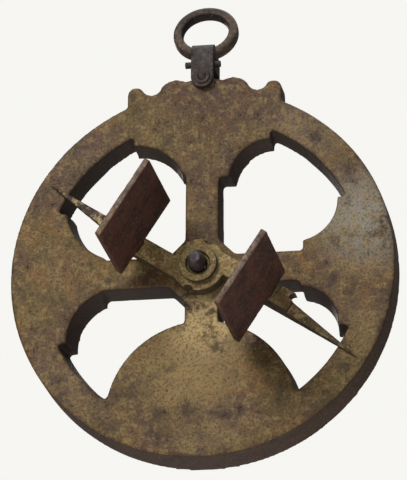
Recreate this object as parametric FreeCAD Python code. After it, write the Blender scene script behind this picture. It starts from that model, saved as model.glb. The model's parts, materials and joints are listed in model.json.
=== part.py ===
import FreeCAD, Part
import os
from math import acos, atan2, cos, hypot, pi, radians, sin, sqrt
from FreeCAD import Vector

# A mariner's astrolabe, hanging upright. Millimetres. +Z is up, the front faces -Y.
# The pieces are worked out about the alidade's pivot on the limb's front face, and are
# written with the origin at the middle of the thumb ring, where the instrument is held.

# limb: one casting, thicker at the foot so that it hangs steady
limb_radius = 90.0
band_width = 15.0
thickness_top = 12.5
thickness_foot = 22.1
upright_spoke_width = 15.6
cross_spoke_width = 15.0
hub_reach = 23.0
ballast_radius = 44.5
ballast_rise = 21.0
wall_draft = 0.11
ballast_draft = 0.05
edge_round = 0.6

# corners of the openings: a quarter round between a step on the spoke and a step on the band.
# inset runs along the spoke from the band's inner edge, across runs square to the spoke.
corners = {
    "upper_right_by_upright": dict(side=1, up=1, spoke="upright", inset=29.6, across=32.0,
                                   spoke_step=4.8, band_step=4.6, radius=20.0),
    "upper_right_by_cross": dict(side=1, up=1, spoke="cross", inset=27.8, across=32.7,
                                 spoke_step=4.8, band_step=4.2, radius=20.0),
    "upper_left_by_upright": dict(side=-1, up=1, spoke="upright", inset=27.6, across=32.7,
                                  spoke_step=1.3, band_step=4.4, radius=25.3),
    "upper_left_by_cross": dict(side=-1, up=1, spoke="cross", inset=29.2, across=31.6,
                                spoke_step=1.0, band_step=4.2, radius=28.5),
    "lower_left_by_cross": dict(side=-1, up=-1, spoke="cross", inset=28.0, across=32.3,
                                spoke_step=0.8, band_step=4.6, radius=24.5),
    "lower_right_by_cross": dict(side=1, up=-1, spoke="cross", inset=29.0, across=30.1,
                                 spoke_step=2.6, band_step=5.1, radius=19.0),
}

# crown: two pairs of lobes and a lug, as heights over the top of the round limb
outer_lobe_offset = 32.6
outer_lobe_radius = 4.0
outer_lobe_height = 2.6
crown_dip_offset = 25.4
crown_dip_height = -1.6
inner_lobe_offset = 14.4
inner_lobe_height = 5.3
inner_dip_offset = 9.3
inner_dip_height = 4.3
lug_wall = 2.6
rivet_height = 5.1
crown_root = 2.0
crown_shift = 0.6

# alidade: a rule whose two arms lie on opposite sides of the sighting line
alidade_angle = -32.8
rule_thickness = 7.2
arm_width = 10.8
arm_reach = 47.5
pointer_margin = 5.0
pointer_width = 7.0
pointer_thickness = 4.7
tip_width = 0.8
tip_thickness = 1.2
hub_disc_overhang = 8.4
edge_bevel = 1.6
nick_width = 5.0
hook_depth = 2.4

# sight vanes: plates let into the rule by a tenon
vane_thickness = 3.2
upper_vane = dict(distance=-30.0, shift=-1.1, length=42.0, height=52.7)
lower_vane = dict(distance=35.7, shift=-2.6, length=39.8, height=54.6)
sight_hole_radius = 0.9
sight_hole_depth = 14.0
tenon_length = 6.0

# pivot
pivot_radius = 4.1
pivot_nose = 8.0
pivot_nose_taper = 3.2
pivot_tip_inset = 1.7
pivot_head_overhang = 2.4
pivot_head_height = 3.0
collar_overhang = 4.9
collar_thickness = 2.7
collar_dish_width = 1.4
collar_dish_depth = 1.9
cross_pin_radius = 0.9
cross_pin_margin = 0.8
washer_thickness = 1.8
washer_overhang = 5.0
seat_margin = 0.5
seat_depth = 0.7

# shackle and thumb ring
cheek_overhang = 0.75
cheek_thickness = 2.8
eye_setback = 6.0
eye_floor = 4.25
eye_roof = 1.35
front_bend = 5.6
back_bend = 4.0
back_bend_drop = 1.5
slot_above_lug = 0.5
stay_pin_radius = 1.6
stay_pin_reach = 8.4
stay_pin_setback = 3.1
stay_pin_rise = 1.8
rivet_radius = 2.0
rivet_head_overhang = 0.4
rivet_head_height = 1.1
rove_overhang = 1.7
rove_thickness = 0.7
ring_bore_radius = 10.7
ring_width = 4.9
ring_depth = 6.0
ring_corner = 1.8
ring_lean = 20.0

# clearances
face_gap = 0.3
pivot_gap = 0.07
rivet_gap = 0.07
fit_gap = 0.05
eye_gap = 0.25

# sizes and places that follow from those above
band_inner = limb_radius - band_width
ballast_z = ballast_rise - limb_radius
pointer_reach = limb_radius - pointer_margin
hub_disc_radius = pivot_radius + hub_disc_overhang
collar_radius = pivot_radius + collar_overhang
washer_radius = pivot_radius + washer_overhang
pivot_head_radius = pivot_radius + pivot_head_overhang
lug_radius = rivet_radius + lug_wall
cheek_radius = lug_radius + cheek_overhang
ring_mean = ring_bore_radius + ring_width / 2
rule_back = -face_gap
rule_front = rule_back - rule_thickness
collar_back = rule_front - face_gap
collar_front = collar_back - collar_thickness


def limb_back(z):
    """Depth of the limb's sloping back face at height z."""
    share = (limb_radius - z) / (2 * limb_radius)
    return thickness_top + (thickness_foot - thickness_top) * share


def ring_reach(x):
    """Furthest that the thumb ring's section reaches from the eye's axis at this x."""
    inward = ring_mean - sqrt(ring_bore_radius ** 2 - x ** 2)
    return hypot(inward - ring_corner, ring_depth / 2 - ring_corner) + ring_corner


eye_radius = ring_reach(0) + eye_gap
rivet_z = limb_radius + rivet_height
slot_top = rivet_z + lug_radius + slot_above_lug
eye_z = slot_top + eye_floor + eye_radius
shackle_top = eye_z + eye_radius + eye_roof
deepest = limb_back(-limb_radius) + 5.0
lug_back = limb_back(rivet_z - cheek_radius)
cheek_inner_back = lug_back + face_gap
cheek_outer_back = cheek_inner_back + cheek_thickness
cheek_outer_front = -face_gap - cheek_thickness
eye = Vector(0, cheek_outer_front + eye_setback, eye_z)
ring_up = Vector(0, sin(radians(ring_lean)), cos(radians(ring_lean)))
ring_axis = Vector(0, -cos(radians(ring_lean)), sin(radians(ring_lean)))
ring_centre = eye + ring_up * ring_mean
back_seat = limb_back(0) - seat_depth


def cylinder(radius, low, high, x=0.0, z=0.0):
    """A round bar along Y from low to high."""
    return Part.makeCylinder(radius, high - low, Vector(x, low, z), Vector(0, 1, 0))


def cone(front_radius, back_radius, low, high, x=0.0, z=0.0):
    return Part.makeCone(front_radius, back_radius, high - low, Vector(x, low, z), Vector(0, 1, 0))


def block(x0, x1, y0, y1, z0, z1):
    return Part.makeBox(x1 - x0, y1 - y0, z1 - z0, Vector(x0, y0, z0))


def prism(edges, low, high):
    """Carry a closed outline in the XZ plane from y=low to y=high."""
    face = Part.Face(Part.Wire(Part.__sortEdges__(edges)))
    face.translate(Vector(0, low, 0))
    return face.extrude(Vector(0, high - low, 0))


def at(x, z):
    return Vector(x, 0, z)


def line(a, b):
    return Part.LineSegment(at(*a), at(*b)).toShape()


def arc(a, b, c):
    return Part.Arc(at(*a), at(*b), at(*c)).toShape()


def polygon(points, low, high):
    closed = points + points[:1]
    return prism([line(a, b) for a, b in zip(closed, closed[1:])], low, high)


def drafted_hole(radius, x=0.0, z=0.0):
    """A round hole through the casting that narrows towards the back."""
    return cone(radius, radius - wall_draft * deepest, 0, deepest, x, z)


def spandrel(side, up, spoke, inset, across, spoke_step, band_step, radius):
    """The metal in the corner between a spoke and the band, outside a quarter round."""
    half = (upright_spoke_width if spoke == "upright" else cross_spoke_width) / 2
    along = band_inner - inset
    near = (along, half + spoke_step)
    far = (sqrt(band_inner ** 2 - across ** 2) - band_step, across)
    middle = ((near[0] + far[0]) / 2, (near[1] + far[1]) / 2)
    run = (far[0] - near[0], far[1] - near[1])
    chord = hypot(*run)
    rise = sqrt(radius ** 2 - chord ** 2 / 4)
    centre = (middle[0] - run[1] / chord * rise, middle[1] + run[0] / chord * rise)
    limit = band_inner + band_width / 2

    def place(a, c):
        return (side * c, up * a) if spoke == "upright" else (side * a, up * c)

    slab = polygon([place(along, 0), place(along, across), place(limit, across), place(limit, 0)],
                   0, deepest)
    return slab.cut(drafted_hole(radius, *place(*centre)))


def crown():
    """The scrolled crown over the limb and its lug for the shackle."""
    top = limb_radius
    shoulder = (lug_radius, rivet_z)
    lobe_mid = (outer_lobe_offset, top + outer_lobe_height)
    lobe_out = (outer_lobe_offset + outer_lobe_radius, top + outer_lobe_height - outer_lobe_radius)
    lobe_in = (outer_lobe_offset - 0.92 * outer_lobe_radius,
               top + outer_lobe_height - 0.61 * outer_lobe_radius)
    dip = (crown_dip_offset, top + crown_dip_height)
    turn = ((crown_dip_offset + inner_lobe_offset) / 2 + 0.6,
            top + (crown_dip_height + inner_lobe_height) / 2)
    inner_top = (inner_lobe_offset, top + inner_lobe_height)
    inner_dip = (inner_dip_offset, top + inner_dip_height)
    neck = ((inner_dip_offset + lug_radius) / 2, top + inner_dip_height + 0.2)
    foot = (lobe_out[0], sqrt(top ** 2 - lobe_out[0] ** 2) - crown_root)
    edges = []
    for side in (1, -1):
        def s(point):
            return (side * point[0] + crown_shift, point[1])
        edges += [line(s(foot), s(lobe_out)), arc(s(lobe_out), s(lobe_mid), s(lobe_in)),
                  arc(s(lobe_in), s(dip), s(turn)), arc(s(turn), s(inner_top), s(inner_dip)),
                  line(s(inner_dip), s(neck)), line(s(neck), (side * shoulder[0], shoulder[1]))]
    edges += [arc(shoulder, (0, rivet_z + lug_radius), (-shoulder[0], shoulder[1])),
              line((crown_shift + foot[0], foot[1]), (crown_shift - foot[0], foot[1]))]
    return prism(edges, 0, deepest)


def limb():
    """Band, spokes, hub and ballast cast as one, with a plain front and a sloping back."""
    disc = cylinder(limb_radius, 0, deepest)
    disc = disc.makeFillet(edge_round, [e for e in disc.Edges if e.Closed and abs(e.CenterOfMass.y) < 0.01])
    band = disc.cut(drafted_hole(band_inner))
    half_u = upright_spoke_width / 2
    half_c = cross_spoke_width / 2
    inside = band_inner + band_width / 2
    metal = [block(-half_u, half_u, 0, deepest, -inside, inside),
             block(-inside, inside, 0, deepest, -half_c, half_c),
             polygon([(hub_reach, 0), (0, hub_reach), (-hub_reach, 0), (0, -hub_reach)], 0, deepest)]
    ballast = cone(ballast_radius, ballast_radius + ballast_draft * deepest, 0, deepest, 0, ballast_z)
    metal.append(ballast.common(disc))
    metal += [spandrel(**corner).common(disc) for corner in corners.values()]
    metal.append(crown())
    body = band.multiFuse(metal).removeSplitter()
    reach = rivet_z + 2 * lug_radius
    side = [Vector(0, -1, -reach), Vector(0, -1, reach), Vector(0, limb_back(reach), reach),
            Vector(0, limb_back(-reach), -reach)]
    profile = Part.Face(Part.makePolygon(side + side[:1]))
    profile.translate(Vector(-reach, 0, 0))
    body = body.common(profile.extrude(Vector(2 * reach, 0, 0)))
    body = body.cut(cylinder(pivot_radius + fit_gap, -1, deepest))
    body = body.cut(cylinder(washer_radius + seat_margin, back_seat, deepest))
    body = body.cut(cylinder(rivet_radius + rivet_gap, -1, deepest, 0, rivet_z))
    return body.removeSplitter()


def turned(shape):
    """Turn a piece drawn along X to the angle at which the alidade stands."""
    shape.rotate(Vector(0, 0, 0), Vector(0, 1, 0), -alidade_angle)
    return shape


def arm():
    """One arm of the rule, with its pointer, on the upper side of the sighting line."""
    root = (arm_reach, arm_width)
    bite = (arm_reach - hook_depth, (arm_width + pointer_width) / 2 + 0.3)
    barb = (arm_reach - hook_depth - 0.2, pointer_width + 0.5)
    plan = [line((0, 0), (0, arm_width)), line((0, arm_width), root), arc(root, bite, barb),
            line(barb, (arm_reach, pointer_width)), line((arm_reach, pointer_width), (arm_reach, 0)),
            line((arm_reach, 0), (0, 0))]
    bar = prism(plan, rule_front, rule_back)
    start = arm_reach - hook_depth - 2.0
    point = polygon([(start, 0), (start, pointer_width), (arm_reach, pointer_width),
                     (pointer_reach, tip_width), (pointer_reach, 0)], rule_front, rule_back)
    side = [Vector(start, rule_back, 0), Vector(pointer_reach, rule_back, 0),
            Vector(pointer_reach, rule_back - tip_thickness, 0),
            Vector(arm_reach, rule_back - pointer_thickness, 0),
            Vector(start, rule_back - pointer_thickness, 0)]
    wedge = Part.Face(Part.makePolygon(side + side[:1])).extrude(Vector(0, 0, arm_width))
    whole = bar.fuse(point.common(wedge))
    slope = [Vector(0, rule_back, 0), Vector(0, rule_front - 1, 0),
             Vector(0, rule_front - 1, edge_bevel * (1 + 1 / rule_thickness))]
    bevel = Part.Face(Part.makePolygon(slope + slope[:1])).extrude(Vector(pointer_reach + 1, 0, 0))
    return whole.cut(bevel)


def rule():
    """The alidade's rule: hub disc, two arms, and a nick where each arm leaves the disc."""
    first = arm()
    second = arm()
    second.rotate(Vector(0, 0, 0), Vector(0, 1, 0), 180)
    body = cylinder(hub_disc_radius, rule_front, rule_back).multiFuse([first, second])
    body = body.removeSplitter()
    for sign in (1, -1):
        ends = sorted((sign * -nick_width * 0.9, sign * nick_width * 0.1))
        nick = cylinder(nick_width / 2, rule_front - 1, 0, sum(ends) / 2, sign * (hub_disc_radius + 0.4))
        body = body.cut(nick)
    body = body.cut(cylinder(pivot_radius + pivot_gap, rule_front - 1, 1))
    for sight in (upper_vane, lower_vane):
        body = body.cut(tenon(sight["distance"], fit_gap, 1.0))
    return turned(body)


def tenon(distance, gap=0.0, past=0.0):
    """The tongue that passes through the arm at this distance from the pivot."""
    half = vane_thickness / 2 + gap
    middle = arm_width / 2 + edge_bevel / 2
    low = middle - tenon_length / 2 - gap
    high = middle + tenon_length / 2 + gap
    if distance < 0:
        low, high = -high, -low
    return block(distance - half, distance + half, rule_front - past, rule_back + past, low, high)


def vane(distance, shift, length, height):
    """A sight vane standing on the rule, pierced on the sighting line."""
    half = vane_thickness / 2
    top = rule_front - height
    plate = block(distance - half, distance + half, top, rule_front, shift - length / 2, shift + length / 2)
    plate = plate.makeChamfer(0.4, [e for e in plate.Edges if abs(e.CenterOfMass.y - top) < 0.01])
    hole = Part.makeCylinder(sight_hole_radius, 4 * vane_thickness,
                             Vector(distance - 2 * vane_thickness, top + sight_hole_depth, 0),
                             Vector(1, 0, 0))
    return turned(plate.cut(hole).fuse(tenon(distance)).removeSplitter())


def pivot_pin():
    """The iron pin: a low domed head behind the washer, a blunt nose in front of the collar."""
    tip = collar_front - pivot_nose
    washer_back = back_seat + washer_thickness
    shank = cylinder(pivot_radius, tip + pivot_nose_taper, washer_back)
    nose = cone(pivot_radius - pivot_tip_inset, pivot_radius, tip, tip + pivot_nose_taper)
    head = dome(pivot_head_radius, pivot_head_height, washer_back, 1)
    body = shank.multiFuse([nose, head]).removeSplitter()
    return turned(body.cut(cross_bar(cross_pin_radius + fit_gap, 2 * pivot_radius)))


def dome(radius, height, seat, direction):
    """A spherical cap standing on the plane y=seat, bulging along direction times Y."""
    ball = (radius ** 2 + height ** 2) / (2 * height)
    centre = Vector(0, seat - direction * (ball - height), 0)
    low, high = sorted((seat, seat + direction * 2 * ball))
    return Part.makeSphere(ball, centre).common(cylinder(radius * 1.01, low, high))


def cross_bar(radius, reach):
    """A round bar through the pivot, along the rule, in the collar's dish."""
    depth = collar_front + collar_dish_depth - cross_pin_radius - fit_gap
    return Part.makeCylinder(radius, 2 * reach, Vector(-reach, depth, 0), Vector(1, 0, 0))


def cross_pin():
    """The small pin through the pivot, ending short of the dish's wall."""
    return turned(cross_bar(cross_pin_radius, pivot_radius + collar_dish_width - cross_pin_margin))


def collar():
    """The dished washer in front of the rule."""
    ring = cylinder(collar_radius, collar_front, collar_back)
    ring = ring.makeFillet(0.9, [e for e in ring.Edges if abs(e.CenterOfMass.y - collar_front) < 0.01])
    dish = cylinder(pivot_radius + collar_dish_width, collar_front - 1, collar_front + collar_dish_depth)
    return ring.cut(dish).cut(cylinder(pivot_radius + fit_gap, collar_front - 1, collar_back + 1))


def back_washer():
    ring = cylinder(washer_radius, back_seat, back_seat + washer_thickness)
    return ring.cut(cylinder(pivot_radius + fit_gap, back_seat - 1, back_seat + washer_thickness + 1))


def shackle():
    """Two cheeks over the lug and a solid head bent over the ring, with a bell-mouthed eye."""
    low = cheek_outer_front
    high = cheek_outer_back
    front = Vector(0, low + front_bend, shackle_top - front_bend)
    back = Vector(0, high - back_bend, front.z - back_bend_drop)
    run = back - front
    slope = atan2(run.z, run.y) + acos((front_bend - back_bend) / run.Length)

    def bend(centre, radius, angle):
        return centre + Vector(0, cos(angle), sin(angle)) * radius

    front_arc = Part.Arc(bend(front, front_bend, pi), bend(front, front_bend, (pi + slope) / 2),
                         bend(front, front_bend, slope)).toShape()
    back_arc = Part.Arc(bend(back, back_bend, slope), bend(back, back_bend, slope / 2),
                        bend(back, back_bend, 0)).toShape()
    sides = Part.makePolygon([bend(back, back_bend, 0), Vector(0, high, rivet_z), Vector(0, low, rivet_z),
                              bend(front, front_bend, pi)])
    top = Part.makePolygon([bend(front, front_bend, slope), bend(back, back_bend, slope)])
    outline = Part.Wire(Part.__sortEdges__([front_arc, back_arc] + sides.Edges + top.Edges))
    outline.translate(Vector(-cheek_radius, 0, 0))
    column = Part.Face(outline).extrude(Vector(2 * cheek_radius, 0, 0))
    foot = cylinder(cheek_radius, low, high, 0, rivet_z)
    body = column.fuse(foot).removeSplitter()
    slot = block(-2 * cheek_radius, 2 * cheek_radius, -face_gap, cheek_inner_back,
                 rivet_z - 2 * cheek_radius, slot_top)
    body = body.cut(slot)
    mouth = 1.02 * cheek_radius
    flare = ring_reach(mouth) + eye_gap
    curve = Part.Arc(Vector(-mouth, flare, 0), Vector(0, eye_radius, 0), Vector(mouth, flare, 0)).toShape()
    closing = Part.makePolygon([Vector(mouth, flare, 0), Vector(mouth, 0, 0), Vector(-mouth, 0, 0),
                                Vector(-mouth, flare, 0)])
    bore = Part.Face(Part.Wire([curve] + closing.Edges)).revolve(Vector(0, 0, 0), Vector(1, 0, 0), 360)
    bore.translate(eye)
    body = body.cut(bore).cut(stay_pin())
    return body.cut(cylinder(rivet_radius, low - 1, high + 1, 0, rivet_z))


def stay_pin():
    """A short bar driven across the shackle over the lug, with its ends standing out."""
    start = Vector(-stay_pin_reach, cheek_outer_front + stay_pin_setback, slot_top + stay_pin_rise)
    return Part.makeCylinder(stay_pin_radius, 2 * stay_pin_reach, start, Vector(1, 0, 0))


def shackle_rivet():
    front = cheek_outer_front - rove_thickness
    back = cheek_outer_back + rove_thickness
    head = rivet_radius + rivet_head_overhang
    shank = cylinder(rivet_radius, front, back)
    body = shank.multiFuse([dome(head, rivet_head_height, front, -1),
                            dome(head, rivet_head_height, back, 1)]).removeSplitter()
    body.translate(Vector(0, 0, rivet_z))
    return body


def rove(seat, direction):
    """A thin washer under one end of the rivet."""
    low, high = sorted((seat, seat + direction * rove_thickness))
    plate = cylinder(rivet_radius + rove_overhang, low, high, 0, rivet_z)
    return plate.cut(cylinder(rivet_radius, low - 1, high + 1, 0, rivet_z))


def thumb_ring():
    """A ring of soft-cornered square section, leaning back from the shackle's eye."""
    half_w = ring_width / 2
    half_d = ring_depth / 2
    section = Part.makePlane(ring_width, ring_depth, Vector(ring_mean - half_w, -half_d, 0))
    ring = section.revolve(Vector(0, 0, 0), Vector(0, 1, 0), 360)
    ring = ring.makeFillet(ring_corner, [e for e in ring.Edges if e.Closed])
    ring.rotate(Vector(0, 0, 0), Vector(1, 0, 0), -ring_lean)
    ring.translate(ring_centre)
    return ring


pieces = {
    "thumb_ring": thumb_ring(),
    "shackle": shackle(),
    "shackle_rivet": shackle_rivet(),
    "stay_pin": stay_pin(),
    "front_rove": rove(cheek_outer_front, -1),
    "back_rove": rove(cheek_outer_back, 1),
    "limb": limb(),
    "pivot_pin": pivot_pin(),
    "front_collar": collar(),
    "cross_pin": cross_pin(),
    "back_washer": back_washer(),
    "rule": rule(),
    "upper_vane": vane(**upper_vane),
    "lower_vane": vane(**lower_vane),
}

os.makedirs("parts", exist_ok=True)
for name, shape in pieces.items():
    shape.translate(ring_centre * -1)
    shape.exportStep(f"parts/{name}.step")
    box = shape.BoundBox
    print(f"{name}: {len(shape.Solids)} solid, valid {shape.isValid()}, {shape.Volume / 1000:.2f} cm3, "
          f"y {box.YMin:.2f} to {box.YMax:.2f}, z {box.ZMin:.2f} to {box.ZMax:.2f}")
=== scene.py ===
import json
from math import radians

import bmesh
import bpy
import numpy as np
from mathutils import Matrix, Vector


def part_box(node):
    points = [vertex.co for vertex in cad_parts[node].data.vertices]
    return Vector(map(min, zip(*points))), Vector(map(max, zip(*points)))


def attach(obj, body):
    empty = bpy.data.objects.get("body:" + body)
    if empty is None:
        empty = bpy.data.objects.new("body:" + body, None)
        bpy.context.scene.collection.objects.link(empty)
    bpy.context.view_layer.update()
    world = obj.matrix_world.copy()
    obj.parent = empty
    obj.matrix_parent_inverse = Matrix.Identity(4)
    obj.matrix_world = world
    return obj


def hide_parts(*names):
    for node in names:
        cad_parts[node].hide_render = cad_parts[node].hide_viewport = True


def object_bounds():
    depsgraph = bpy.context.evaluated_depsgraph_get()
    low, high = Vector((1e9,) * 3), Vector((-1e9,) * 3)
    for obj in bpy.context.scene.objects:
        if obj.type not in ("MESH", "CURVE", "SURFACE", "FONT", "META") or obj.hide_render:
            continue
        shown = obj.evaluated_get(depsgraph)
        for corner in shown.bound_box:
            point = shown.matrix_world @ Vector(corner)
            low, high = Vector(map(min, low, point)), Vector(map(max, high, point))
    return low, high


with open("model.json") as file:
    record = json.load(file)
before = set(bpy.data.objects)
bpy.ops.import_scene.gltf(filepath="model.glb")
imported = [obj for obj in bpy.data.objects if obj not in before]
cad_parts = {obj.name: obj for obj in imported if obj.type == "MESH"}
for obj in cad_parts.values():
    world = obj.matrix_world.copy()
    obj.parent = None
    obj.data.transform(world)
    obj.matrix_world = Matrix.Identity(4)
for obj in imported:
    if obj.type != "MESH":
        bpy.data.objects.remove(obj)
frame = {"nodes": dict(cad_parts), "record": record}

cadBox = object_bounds()
joints = {joint["name"]: joint for joint in frame["record"]["behaviour"]["joints"]}
pivot = Vector(joints["alidade_turn"]["pos_m"])
mm = 0.001
weld = 1e-6            # points nearer than this are one point
print("frame loaded, pivot at", [round(value, 4) for value in pivot])

# ---- camera, floor and light

view = dict(
    turn=10.17,                        # degrees towards +X from straight in front
    rise=19.95,                        # degrees that the camera looks up
    roll=0.48,
    distance=2.0658,
    lens=335.4,                        # millimetres, like the sensor
    sensor=36.0,
    farthest=100.0,
    aimSide=0.0009,                    # from the pivot to the point that the camera faces
    aimUp=0.0146,
)
studio = dict(
    paper=(0.925, 0.918, 0.888),       # what stands behind the instrument
    ambient=(0.16, 0.155, 0.15),       # what the room gives back from every side
    floorBelow=1.0,                    # metres under the instrument
    floorSize=4.0,
    floorColour=(0.80, 0.79, 0.77),
    floorRoughness=0.9,
)
lamps = {
    "keyLamp": dict(place=(-0.75, -1.75, 1.05), size=0.95, power=38.0, colour=(1.0, 0.97, 0.92)),
    "fillLamp": dict(place=(0.6, -2.0, -0.5), size=1.2, power=8.0, colour=(1.0, 0.97, 0.95)),
    "backLamp": dict(place=(-0.9, 1.9, 1.1), size=1.0, power=42.0, colour=(1.0, 0.98, 0.95)),
    "roofLamp": dict(place=(0.2, 0.6, 2.6), size=2.4, power=70.0, colour=(1.0, 1.0, 1.0)),
}


def setCamera():
    lens = bpy.data.cameras.new("camera")
    lens.lens = view["lens"]
    lens.sensor_width = view["sensor"]
    lens.clip_end = view["farthest"]
    camera = bpy.data.objects.new("camera", lens)
    turned = (Matrix.Rotation(radians(view["turn"]), 3, "Z")
              @ Matrix.Rotation(radians(90 + view["rise"]), 3, "X")
              @ Matrix.Rotation(radians(view["roll"]), 3, "Z"))
    aim = pivot + Vector((view["aimSide"], 0, view["aimUp"]))
    place = aim + turned @ Vector((0, 0, view["distance"]))
    camera.matrix_world = Matrix.Translation(place) @ turned.to_4x4()
    bpy.context.scene.collection.objects.link(camera)
    bpy.context.scene.camera = camera


def setLamps():
    for name, lamp in lamps.items():
        light = bpy.data.lights.new(name, "AREA")
        light.size = lamp["size"]
        light.energy = lamp["power"]
        light.color = lamp["colour"]
        holder = bpy.data.objects.new(name, light)
        place = pivot + Vector(lamp["place"])
        facing = (pivot - place).to_track_quat("-Z", "Y")
        holder.matrix_world = Matrix.Translation(place) @ facing.to_matrix().to_4x4()
        bpy.context.scene.collection.objects.link(holder)


def setRoom():
    world = bpy.data.worlds.new("room")
    world.use_nodes = True
    nodes = world.node_tree.nodes
    links = world.node_tree.links
    nodes.clear()
    rays = nodes.new("ShaderNodeLightPath")
    seen = nodes.new("ShaderNodeBackground")
    seen.inputs["Color"].default_value = (*studio["paper"], 1)
    given = nodes.new("ShaderNodeBackground")
    given.inputs["Color"].default_value = (*studio["ambient"], 1)
    blend = nodes.new("ShaderNodeMixShader")
    links.new(rays.outputs["Is Camera Ray"], blend.inputs["Fac"])
    links.new(given.outputs["Background"], blend.inputs[1])
    links.new(seen.outputs["Background"], blend.inputs[2])
    out = nodes.new("ShaderNodeOutputWorld")
    links.new(blend.outputs["Shader"], out.inputs["Surface"])
    bpy.context.scene.world = world
    bpy.context.scene.view_settings.view_transform = "Standard"


def layFloor():
    half = studio["floorSize"] / 2
    low = cadBox[0].z - studio["floorBelow"]
    mesh = bpy.data.meshes.new("floor")
    corners = [(-half, -half, low), (half, -half, low), (half, half, low), (-half, half, low)]
    mesh.from_pydata(corners, [], [(0, 1, 2, 3)])
    ground = bpy.data.objects.new("floor", mesh)
    paint = bpy.data.materials.new("floorPaint")
    paint.use_nodes = True
    shader = paint.node_tree.nodes["Principled BSDF"]
    shader.inputs["Base Color"].default_value = (*studio["floorColour"], 1)
    shader.inputs["Roughness"].default_value = studio["floorRoughness"]
    mesh.materials.append(paint)
    bpy.context.scene.collection.objects.link(ground)


# ---- shader maths: a socket that can be added, multiplied and so on

specular = 0.3         # patina mirrors little


class Value:
    def __init__(self, finish, socket):
        self.finish = finish
        self.socket = socket

    def maths(self, operation, first, second):
        return self.finish.add("ShaderNodeMath", dict(operation=operation), {0: first, 1: second})

    def __add__(self, other):
        return self.maths("ADD", self, other)

    def __mul__(self, other):
        return self.maths("MULTIPLY", self, other)

    def __sub__(self, other):
        return self.maths("SUBTRACT", self, other)

    def __rsub__(self, other):
        return self.maths("SUBTRACT", other, self)

    __radd__ = __add__
    __rmul__ = __mul__

    def between(self, low, high):
        # 0 at low, 1 at high, a smooth step in the middle
        return self.finish.add("ShaderNodeMapRange", dict(interpolation_type="SMOOTHSTEP"),
                               {"Value": self, "From Min": low, "From Max": high})


class Finish:
    def __init__(self, name):
        self.material = bpy.data.materials.new(name)
        self.material.use_nodes = True
        self.tree = self.material.node_tree
        self.tree.nodes.clear()
        self.place = self.add("ShaderNodeTexCoord", {}, {}, "Object")

    def add(self, kind, settings, sockets, output=0):
        node = self.tree.nodes.new(kind)
        for name, value in settings.items():
            setattr(node, name, value)
        for name, value in sockets.items():
            if isinstance(value, Value):
                self.tree.links.new(value.socket, node.inputs[name])
            else:
                node.inputs[name].default_value = value
        return Value(self, node.outputs[output] if node.outputs else None)

    def noise(self, grain, detail, roughness, shift):
        # grain is the size of a patch in metres
        moved = self.add("ShaderNodeMapping", {}, {"Vector": self.place, "Location": (shift, shift, shift)})
        return self.add("ShaderNodeTexNoise", {}, {"Vector": moved, "Scale": 1 / grain, "Detail": detail,
                                                   "Roughness": roughness})

    def mix(self, share, first, second):
        # colour blend, from first to second as share goes from 0 to 1
        def colour(value):
            return value if isinstance(value, Value) else (*value, 1)
        return self.add("ShaderNodeMix", dict(data_type="RGBA", clamp_factor=True),
                        {"Factor": share, 6: colour(first), 7: colour(second)}, 2)

    def attribute(self, name):
        return self.add("ShaderNodeAttribute", dict(attribute_name=name), {}, "Fac")

    def near(self, centre, reach, full=0.15):
        # 1 within that share of reach from the centre, and 0 beyond reach
        away = self.add("ShaderNodeVectorMath", dict(operation="DISTANCE"),
                        {0: self.place, 1: centre}, "Value")
        return 1 - away.between(full * reach, reach)

    def close(self, colour, roughness, metallic, height, depth):
        bump = self.add("ShaderNodeBump", {}, {"Height": height, "Distance": depth, "Strength": 1.0})
        shader = self.add("ShaderNodeBsdfPrincipled", {}, {
            "Base Color": colour, "Roughness": roughness, "Metallic": metallic, "Normal": bump,
            "Specular IOR Level": specular})
        self.add("ShaderNodeOutputMaterial", {}, {"Surface": shader})
        return self.material


noises = dict(         # size of a patch in metres, detail, roughness and shift
    broad=(0.036, 3.0, 0.6, 0.3),
    cloud=(0.012, 6.0, 0.70, 0.7),
    fleck=(0.0036, 5.0, 0.70, 1.1),
    grit=(0.0013, 3.0, 0.65, 1.9),
)
bands = dict(          # the values between which a layer goes from nothing to full
    olive=(0.38, 0.62),
    warm=(0.50, 0.62),
    patch=(0.30, 0.56),
    light=(0.46, 0.66),
    stain=(0.47, 0.36),
    grit=(0.42, 0.68),
    pits=(0.42, 0.33),
    wall=(0.25, 0.75),
    wallStain=(0.56, 0.40),
    wallLight=(0.54, 0.68),
    cornerDark=(0.05, 0.6),
)
shares = dict(         # how much of a layer shows where it is full
    wallLight=0.35,
    openingShade=0.75,
    cornerDark=0.8,
)
openingShadeCore = 0.9         # painted shade in the openings is full to this share of its reach


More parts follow.
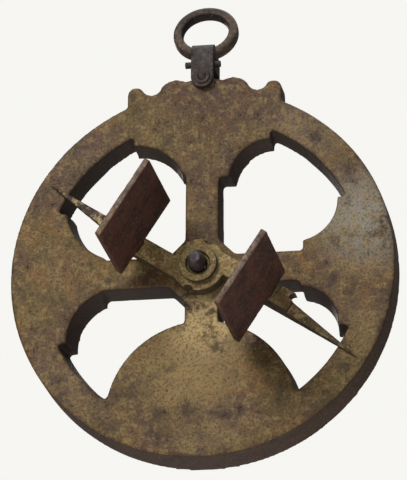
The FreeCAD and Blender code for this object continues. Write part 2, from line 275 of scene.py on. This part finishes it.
def patina(name, look):
    # weathered metal: broad patches of two browns, a warm and a light bloom, dark specks and
    # pits, painted shade on the side walls, darker corners, and bare metal on rubbed edges. The wear
    # attribute is above 0 on edges and below 0 in corners; the wall mask is 1 where shade is painted.
    f = Finish(name)
    broad = f.noise(*noises["broad"])
    cloud = f.noise(*noises["cloud"])
    fleck = f.noise(*noises["fleck"])
    grit = f.noise(*noises["grit"])
    wear = f.attribute("wear")
    wall = f.attribute("wall").between(*bands["wall"])
    rubbed = (wear * (0.4 + 1.2 * cloud)).between(look["edgeFrom"], look["edgeFull"])
    cornerDark = (0 - wear).between(*bands["cornerDark"])
    pits = (fleck * 0.55 + grit * 0.45).between(*bands["pits"])
    stain = cloud.between(*bands["stain"])
    colour = f.mix(broad.between(*bands["olive"]), look["brown"], look["olive"])
    colour = f.mix(cloud.between(*bands["warm"]) * look["warmShare"], colour, look["warm"])
    for patch in look["patches"]:
        nearby = f.near(pivot + Vector(patch["place"]), patch["reach"])
        mask = nearby * cloud.between(*bands["patch"])
        colour = f.mix(mask * (0.1 + 1.5 * grit) * patch["share"], colour, patch["colour"])
    colour = f.mix(fleck.between(*bands["light"]) * look["lightShare"], colour, look["light"])
    colour = f.mix(stain * look["stainShare"], colour, look["dark"])
    colour = f.mix(grit.between(*bands["grit"]) * look["gritShare"], colour, look["dark"])
    colour = f.mix(pits * look["pitShare"], colour, look["dark"])
    # painted shade on the side walls, with stains and light specks in it
    wallShadeColour = f.mix(cloud.between(*bands["wallStain"]) * look["wallStain"], look["wall"], look["dark"])
    wallShadeColour = f.mix(grit.between(*bands["wallLight"]) * shares["wallLight"], wallShadeColour, look["light"])
    # painted shade, deeper on the walls of the openings near the pivot
    wallShadeColour = f.mix(f.near(pivot, look["openingShade"], openingShadeCore) * shares["openingShade"], wallShadeColour, look["dark"])
    colour = f.mix(wall * look["wallShare"] * (0.75 + 0.5 * fleck), colour, wallShadeColour)
    # darker in corners, where the wear attribute is below 0
    colour = f.mix(cornerDark * shares["cornerDark"], colour, look["dark"])
    colour = f.mix(rubbed * look["edgeShare"], colour, look["metal"])
    roughness = look["roughness"] + 0.30 * (fleck - 0.5) - 0.14 * rubbed + 0.12 * pits + 0.1 * wall
    metallic = look["metallic"] * (1 - 0.8 * pits) * (1 - 0.7 * wall) + 0.3 * rubbed
    height = 0.40 * cloud + 0.40 * fleck + 0.20 * grit - 0.35 * pits
    return f.close(colour, roughness, metallic, height, look["relief"])


# ---- surfaces

latticeSize = 32
seeds = dict(rounding=5, hollow=11, ripple=12, pit=13, dent=14)
weathering = dict(
    rounding=0.72,                     # usual share of the averaging that an edge keeps
    roundingVaries=0.5,
    roundingLeast=0.3,
    roundingSize=9 * mm,
    rippleSize=0.31,                   # of the hollows' size
    rippleShare=0.3,                   # of their depth
    pitFrom=0.45,
    dentFrom=0.35,
    dentSize=6 * mm,
)


def latticeNoise(points, cell, seed):
    # value noise: random numbers from -1 to 1 at the corners of a cubic lattice, blended
    # inside each cell with the step 3t^2 - 2t^3 along each axis
    table = np.random.default_rng(seed).uniform(-1, 1, (latticeSize,) * 3)
    scaled = points / cell
    corner = np.floor(scaled).astype(int)
    part = scaled - corner
    part = part * part * (3 - 2 * part)
    total = np.zeros(len(points))
    for step in np.ndindex(2, 2, 2):
        weight = np.prod(np.where(step, part, 1 - part), axis=1)
        x, y, z = ((corner + step) % latticeSize).T
        total += weight * table[x, y, z]
    return total


def averaged(points, edges, rounds):
    # each round moves every point half way to the mean of its neighbours
    count = np.bincount(edges.ravel(), minlength=len(points))[:, None]
    for _ in range(rounds):
        total = np.zeros_like(points)
        np.add.at(total, edges[:, 0], points[edges[:, 1]])
        np.add.at(total, edges[:, 1], points[edges[:, 0]])
        points = 0.5 * points + 0.5 * total / count
    return points


def weather(mesh, look):
    # rounds the edges, more in some places than others, and presses shallow hollows, pits and
    # dents into the skin, always inwards. The wear attribute keeps how far a point stands out
    # of its surroundings. The wall attribute says where shade is painted: how much the skin faces
    # away from front and back or, on the thumb ring, how much it faces the ring's middle.
    settings = weathering
    points = np.empty(len(mesh.vertices) * 3)
    mesh.vertices.foreach_get("co", points)
    points = points.reshape(-1, 3)
    normals = np.empty(len(mesh.vertices) * 3)
    mesh.vertex_normals.foreach_get("vector", normals)
    normals = normals.reshape(-1, 3)
    edges = np.empty(len(mesh.edges) * 2, dtype=int)
    mesh.edges.foreach_get("vertices", edges)
    edges = edges.reshape(-1, 2)
    far = averaged(points, edges, look["wearRounds"])
    sharp = np.sum((points - far) * normals, axis=1) / look["grain"]
    soft = averaged(points, edges, look["softRounds"])
    uneven = latticeNoise(points, settings["roundingSize"], seeds["rounding"])
    share = np.clip(settings["rounding"] + settings["roundingVaries"] * uneven, settings["roundingLeast"], 1)
    moved = points + (soft - points) * share[:, None]
    hollow = 0.5 + 0.5 * latticeNoise(points, look["hollowSize"], seeds["hollow"])
    ripple = 0.5 + 0.5 * latticeNoise(points, look["hollowSize"] * settings["rippleSize"], seeds["ripple"])
    pit = np.clip(latticeNoise(points, look["pitSize"], seeds["pit"]) - settings["pitFrom"], 0, 1)
    dent = np.clip(latticeNoise(points, settings["dentSize"], seeds["dent"]) - settings["dentFrom"], 0, 1)
    dent *= np.clip(sharp, 0, 1)
    depth = look["hollow"] * ((1 - settings["rippleShare"]) * hollow + settings["rippleShare"] * ripple)
    depth += look["pit"] * pit + look["dent"] * dent
    moved -= normals * depth[:, None]
    mesh.vertices.foreach_set("co", moved.ravel())
    mesh.attributes.new("wear", "FLOAT", "POINT").data.foreach_set("value", sharp)
    # painted shade: how much a point lies on a side wall, or on the thumb ring's inside
    sideways = 1 - normals[:, 1] ** 2
    inside = -np.sum(normals * points, axis=1) / np.linalg.norm(points, axis=1)
    wall = inside if look["shadedSide"] == "inside" else sideways
    mesh.attributes.new("wall", "FLOAT", "POINT").data.foreach_set("value", wall)
    mesh.shade_smooth()
    mesh.update()


def gridMesh(name, grid, closedRows):
    # quads between neighbouring rows and columns; the columns always run round, the rows only
    # when closedRows, and points that fall together at a pole are merged
    rows, columns = grid.shape[:2]
    index = np.arange(rows * columns).reshape(rows, columns)
    below = np.roll(index, -1, axis=0)
    beside = np.roll(index, -1, axis=1)
    faces = np.stack([index, beside, np.roll(below, -1, axis=1), below], axis=-1)
    faces = faces if closedRows else faces[:-1]
    mesh = bpy.data.meshes.new(name)
    mesh.from_pydata(grid.reshape(-1, 3), [], faces.reshape(-1, 4).tolist())
    shape = bmesh.new()
    shape.from_mesh(mesh)
    bmesh.ops.remove_doubles(shape, verts=shape.verts, dist=weld)
    bmesh.ops.recalc_face_normals(shape, faces=shape.faces)
    shape.to_mesh(mesh)
    shape.free()
    return mesh


def place(name, mesh, node, body, finish, look):
    weather(mesh, look)
    piece = bpy.data.objects.new(name, mesh)
    bpy.context.scene.collection.objects.link(piece)
    mesh.materials.clear()
    mesh.materials.append(finish)
    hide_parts(node)
    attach(piece, body)
    print(name, "has", len(mesh.polygons), "faces")


def cast(name, node, body, finish, look):
    # a copy of the piece's own solid, merged and given an even skin of small squares
    shape = bmesh.new()
    shape.from_mesh(frame["nodes"][node].data)
    bmesh.ops.remove_doubles(shape, verts=shape.verts, dist=weld)
    mesh = bpy.data.meshes.new(name)
    shape.to_mesh(mesh)
    shape.free()
    holder = bpy.data.objects.new(name + "Skin", mesh)
    bpy.context.scene.collection.objects.link(holder)
    skin = holder.modifiers.new("skin", "REMESH")
    skin.mode = "VOXEL"
    skin.voxel_size = look["grain"]
    graph = bpy.context.evaluated_depsgraph_get()
    even = bpy.data.meshes.new_from_object(holder.evaluated_get(graph))
    bpy.data.objects.remove(holder)
    bpy.data.meshes.remove(mesh)
    place(name, even, node, body, finish, look)


def evenProfile(corners, step, soften, closed):
    # points at even steps along the straight runs, each averaged with its neighbours again and
    # again, which turns a corner into a worn radius; an open profile keeps its two ends
    corners = np.array(corners + corners[:1] if closed else corners, float)
    travel = np.concatenate(([0], np.cumsum(np.linalg.norm(np.diff(corners, axis=0), axis=1))))
    places = np.linspace(0, travel[-1], int(travel[-1] / step), endpoint=not closed)
    points = np.stack([np.interp(places, travel, corners[:, column]) for column in (0, 1)], axis=1)
    for _ in range(soften):
        mean = (np.roll(points, 1, axis=0) + 2 * points + np.roll(points, -1, axis=0)) / 4
        if not closed:
            mean[0], mean[-1] = points[0], points[-1]
        points = mean
    return points


def turnedMesh(name, corners, centre, axis, look, closed=False):
    # a profile of (distance along the axis, radius) carried round the axis: a point is
    # centre + along * axis + radius * (cos a * across + sin a * third), with a from 0 to 2 pi
    profile = evenProfile(corners, look["grain"], look["soften"], closed)
    axis = np.array(axis) / np.linalg.norm(axis)
    across = np.cross(axis, (0.0, 0.0, 1.0))
    across /= np.linalg.norm(across)
    third = np.cross(axis, across)
    widest = profile[:, 1].max()
    angle = np.linspace(0, 2 * np.pi, int(2 * np.pi * widest / look["grain"]), endpoint=False)
    outward = np.cos(angle)[:, None] * across + np.sin(angle)[:, None] * third
    grid = np.array(centre) + profile[:, 0, None, None] * axis + profile[:, 1, None, None] * outward
    return gridMesh(name, grid, closed)


setCamera()
setLamps()
setRoom()
layFloor()
print("camera, lamps and room set")

# ---- the limb, cast in bronze

# grain is the size of the skin's squares, hollow, pit and dent are depths, and a share says how
# much of a layer shows. The wall colour is painted shade on the side walls, deeper on walls
# nearer to the pivot than the openings' reach, and patches lie at places from the pivot, in metres.
limbLook = dict(
    grain=0.86 * mm, wearRounds=5, softRounds=1,
    hollowSize=16 * mm, hollow=0.16 * mm, pitSize=2.8 * mm, pit=0.4 * mm, dent=0.4 * mm,
    brown=(0.084, 0.048, 0.028), olive=(0.122, 0.082, 0.027), warm=(0.170, 0.086, 0.027),
    light=(0.240, 0.170, 0.070), dark=(0.020, 0.012, 0.011), metal=(0.26, 0.19, 0.10),
    wall=(0.038, 0.018, 0.013), wallShare=0.90, wallStain=0.5, openingShade=0.086,
    warmShare=0.65, lightShare=0.75, pitShare=0.75, stainShare=0.50, gritShare=0.65,
    edgeFrom=0.45, edgeFull=1.3, edgeShare=0.35,
    roughness=0.58, metallic=0.30, relief=0.7 * mm, shadedSide="sideways",
    patches=[
        # painted shade: darkens the top of the limb
        dict(place=(0.0, 0, 0.083), reach=0.048, share=0.6, colour=(0.060, 0.036, 0.024)),
        dict(place=(-0.060, 0, 0.060), reach=0.032, share=0.6, colour=(0.080, 0.056, 0.050)),
        dict(place=(0.050, 0, 0.070), reach=0.030, share=0.6, colour=(0.140, 0.115, 0.090)),
        dict(place=(0.077, 0, 0.022), reach=0.034, share=1.0, colour=(0.25, 0.235, 0.195)),
        dict(place=(0.073, 0, -0.038), reach=0.030, share=0.6, colour=(0.170, 0.120, 0.055)),
        # this and the next two patches are worn bright metal and a painted highlight on the lower spoke and
        # ballast
        dict(place=(0.0, 0, -0.025), reach=0.024, share=1.6, colour=(0.66, 0.50, 0.24)),
        dict(place=(-0.004, 0, -0.046), reach=0.032, share=0.9, colour=(0.29, 0.20, 0.085)),
        dict(place=(0.004, 0, -0.080), reach=0.024, share=0.6, colour=(0.18, 0.125, 0.060)),
        dict(place=(-0.068, 0, -0.056), reach=0.030, share=0.7, colour=(0.15, 0.105, 0.058)),
    ],
)
limbBronze = patina("limbBronze", limbLook)
cast("castLimb", "limb", "limb", limbBronze, limbLook)

# ---- the alidade: rule and sights

ruleLook = dict(
    limbLook, grain=0.36 * mm, hollow=0.10 * mm, pit=0.2 * mm, dent=0.25 * mm,
    brown=(0.190, 0.128, 0.056), olive=(0.29, 0.22, 0.085), light=(0.46, 0.36, 0.17),
    metal=(0.42, 0.33, 0.16), edgeShare=0.6, relief=0.4 * mm, wallShare=0.8,
    patches=[
        dict(place=(-0.062, 0, 0.040), reach=0.040, share=2.6, colour=(0.022, 0.014, 0.014)),
        dict(place=(0.066, 0, -0.043), reach=0.038, share=2.2, colour=(0.040, 0.026, 0.020)),
    ],
)
vaneLook = dict(
    limbLook, grain=0.5 * mm, hollow=0.14 * mm,
    brown=(0.105, 0.070, 0.056), olive=(0.130, 0.092, 0.066), light=(0.24, 0.19, 0.15),
    # the wall colour paints shade on the sights' broad faces and sides
    wall=(0.082, 0.029, 0.019), wallShare=1.0, wallStain=0.65, openingShade=0.005,
    edgeFrom=0.3, edgeShare=0.5, relief=0.4 * mm, patches=[],
)
ruleBronze = patina("ruleBronze", ruleLook)
vaneBronze = patina("vaneBronze", vaneLook)
cast("sightRule", "rule", "alidade", ruleBronze, ruleLook)
cast("upperSight", "upper_vane", "alidade", vaneBronze, vaneLook)
cast("lowerSight", "lower_vane", "alidade", vaneBronze, vaneLook)

# ---- pivot pin with its collar, washer and cross pin

pinLook = dict(
    limbLook, grain=0.25 * mm, soften=10, hollow=0.10 * mm, pit=0.15 * mm, dent=0.2 * mm,
    brown=(0.055, 0.044, 0.050), olive=(0.085, 0.074, 0.088), warm=(0.11, 0.06, 0.042),
    light=(0.19, 0.18, 0.20), metal=(0.30, 0.29, 0.32), wall=(0.058, 0.034, 0.030),
    wallShare=0.7, relief=0.4 * mm, patches=[],
)
collarLook = dict(ruleLook, grain=0.28 * mm, soften=5)
washerLook = dict(ruleLook, grain=0.3 * mm)
crossPinLook = dict(pinLook, grain=0.18 * mm)
pinIron = patina("pinIron", pinLook)

pinSizes = dict(
    shank=4.1 * mm,
    tip=2.4 * mm,
    taper=3.2 * mm,
    head=6.5 * mm,
    dome=0.4 * mm,
    domeShare=0.5,                     # of the head, where the dome starts
)


def pivotPin():
    low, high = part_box("pivot_pin")
    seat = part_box("back_washer")[1].y
    size = pinSizes
    corners = [
        (low.y, 0),
        (low.y, size["tip"]),
        (low.y + size["taper"], size["shank"]),
        (seat, size["shank"]),
        (seat, size["head"]),
        (high.y - size["dome"], size["head"] * size["domeShare"]),
        (high.y, 0),
    ]
    mesh = turnedMesh("pivotPin", corners, (pivot.x, 0, pivot.z), (0, 1, 0), pinLook)
    place("pivotPin", mesh, "pivot_pin", "limb", pinIron, pinLook)


collarSizes = dict(
    outer=9.0 * mm,
    bore=4.15 * mm,
    dish=5.5 * mm,
    dishDepth=1.9 * mm,
)


def frontCollar():
    low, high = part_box("front_collar")
    size = collarSizes
    dishFloor = low.y + size["dishDepth"]
    corners = [
        (low.y, size["dish"]),
        (low.y, size["outer"]),
        (high.y, size["outer"]),
        (high.y, size["bore"]),
        (dishFloor, size["bore"]),
        (dishFloor, size["dish"]),
    ]
    mesh = turnedMesh("frontCollar", corners, (pivot.x, 0, pivot.z), (0, 1, 0), collarLook, closed=True)
    place("frontCollar", mesh, "front_collar", "limb", ruleBronze, collarLook)


pivotPin()
frontCollar()
cast("backWasher", "back_washer", "limb", ruleBronze, washerLook)
cast("crossPin", "cross_pin", "limb", pinIron, crossPinLook)

# ---- thumb ring and shackle

ringLook = dict(
    limbLook, grain=0.35 * mm, hollow=0.10 * mm, pit=0.15 * mm, dent=0.2 * mm,
    brown=(0.040, 0.027, 0.025), olive=(0.075, 0.054, 0.038), warm=(0.085, 0.048, 0.034),
    light=(0.16, 0.120, 0.078), dark=(0.012, 0.008, 0.009), metal=(0.20, 0.155, 0.10),
    # the near-black wall colour paints shade on the ring's inside
    wall=(0.008, 0.004, 0.006), wallShare=1.0, relief=0.4 * mm, shadedSide="inside", patches=[],
)
ironLook = dict(
    ringLook, shadedSide="sideways", grain=0.26 * mm,
    brown=(0.020, 0.014, 0.015), olive=(0.032, 0.025, 0.025), warm=(0.050, 0.028, 0.021),
    light=(0.085, 0.074, 0.074), metal=(0.14, 0.125, 0.12),
    wall=(0.022, 0.015, 0.016), wallShare=0.85,
)
rivetLook = dict(ironLook, grain=0.16 * mm, hollow=0.03 * mm, pit=0.06 * mm, soften=2)
ringBronze = patina("ringBronze", ringLook)
shackleIron = patina("shackleIron", ironLook)

ringSizes = dict(
    width=4.9 * mm,
    depth=6.0 * mm,
    squareness=3.2,                    # 2 is an ellipse, more is squarer
    thinning=0.04,                     # share lost at the top
    steps=240,                         # round the ring
    sectionSteps=48,
)


def thumbRing():
    # a rounded square |a / width|^n + |b / depth|^n = 1 carried round a circle that leans back
    # with the ring's axis, a little thinner where a thumb has rubbed the top of it
    low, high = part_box("thumb_ring")
    size = ringSizes
    axis = np.array(frame["record"]["mounts"][0]["axis"])
    side = np.array((1.0, 0.0, 0.0))
    up = np.cross(side, axis)
    middle = (high.x - low.x) / 2 - size["width"] / 2
    turn = np.linspace(0, 2 * np.pi, size["steps"], endpoint=False)
    angle = np.linspace(0, 2 * np.pi, size["sectionSteps"], endpoint=False)
    power = 2 / size["squareness"]
    across = size["width"] / 2 * np.sign(np.cos(angle)) * np.abs(np.cos(angle)) ** power
    along = size["depth"] / 2 * np.sign(np.sin(angle)) * np.abs(np.sin(angle)) ** power
    worn = 1 - size["thinning"] * (0.5 + 0.5 * np.sin(turn))[:, None]
    outward = np.cos(turn)[:, None] * side + np.sin(turn)[:, None] * up
    grid = (middle + worn * across)[:, :, None] * outward[:, None, :]
    grid = grid + (worn * along)[:, :, None] * axis
    mesh = gridMesh("thumbRing", grid, True)
    place("thumbRing", mesh, "thumb_ring", "suspension_ring", ringBronze, ringLook)


rivetSizes = dict(
    head=2.4 * mm,
    rise=1.1 * mm,
    brow=0.35,                         # of the rise, where the low cone turns steep
    browWidth=0.6,                     # of the head
    shank=1.7 * mm,                    # slack in its holes
)


def shackleRivet():
    low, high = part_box("shackle_rivet")
    size = rivetSizes
    front = low.y + size["rise"]
    back = high.y - size["rise"]
    brow = size["brow"] * size["rise"]
    corners = [
        (low.y, 0),
        (low.y + brow, size["browWidth"] * size["head"]),
        (front, size["head"]),
        (front, size["shank"]),
        (back, size["shank"]),
        (back, size["head"]),
        (high.y - brow, size["browWidth"] * size["head"]),
        (high.y, 0),
    ]
    centre = ((low.x + high.x) / 2, 0, (low.z + high.z) / 2)
    mesh = turnedMesh("shackleRivet", corners, centre, (0, 1, 0), rivetLook)
    place("shackleRivet", mesh, "shackle_rivet", "shackle", shackleIron, rivetLook)


thumbRing()
shackleRivet()
cast("shackleForging", "shackle", "shackle", shackleIron, ironLook)
for piece, node in (("stayPin", "stay_pin"), ("frontRove", "front_rove"), ("backRove", "back_rove")):
    cast(piece, node, "shackle", shackleIron, ironLook)
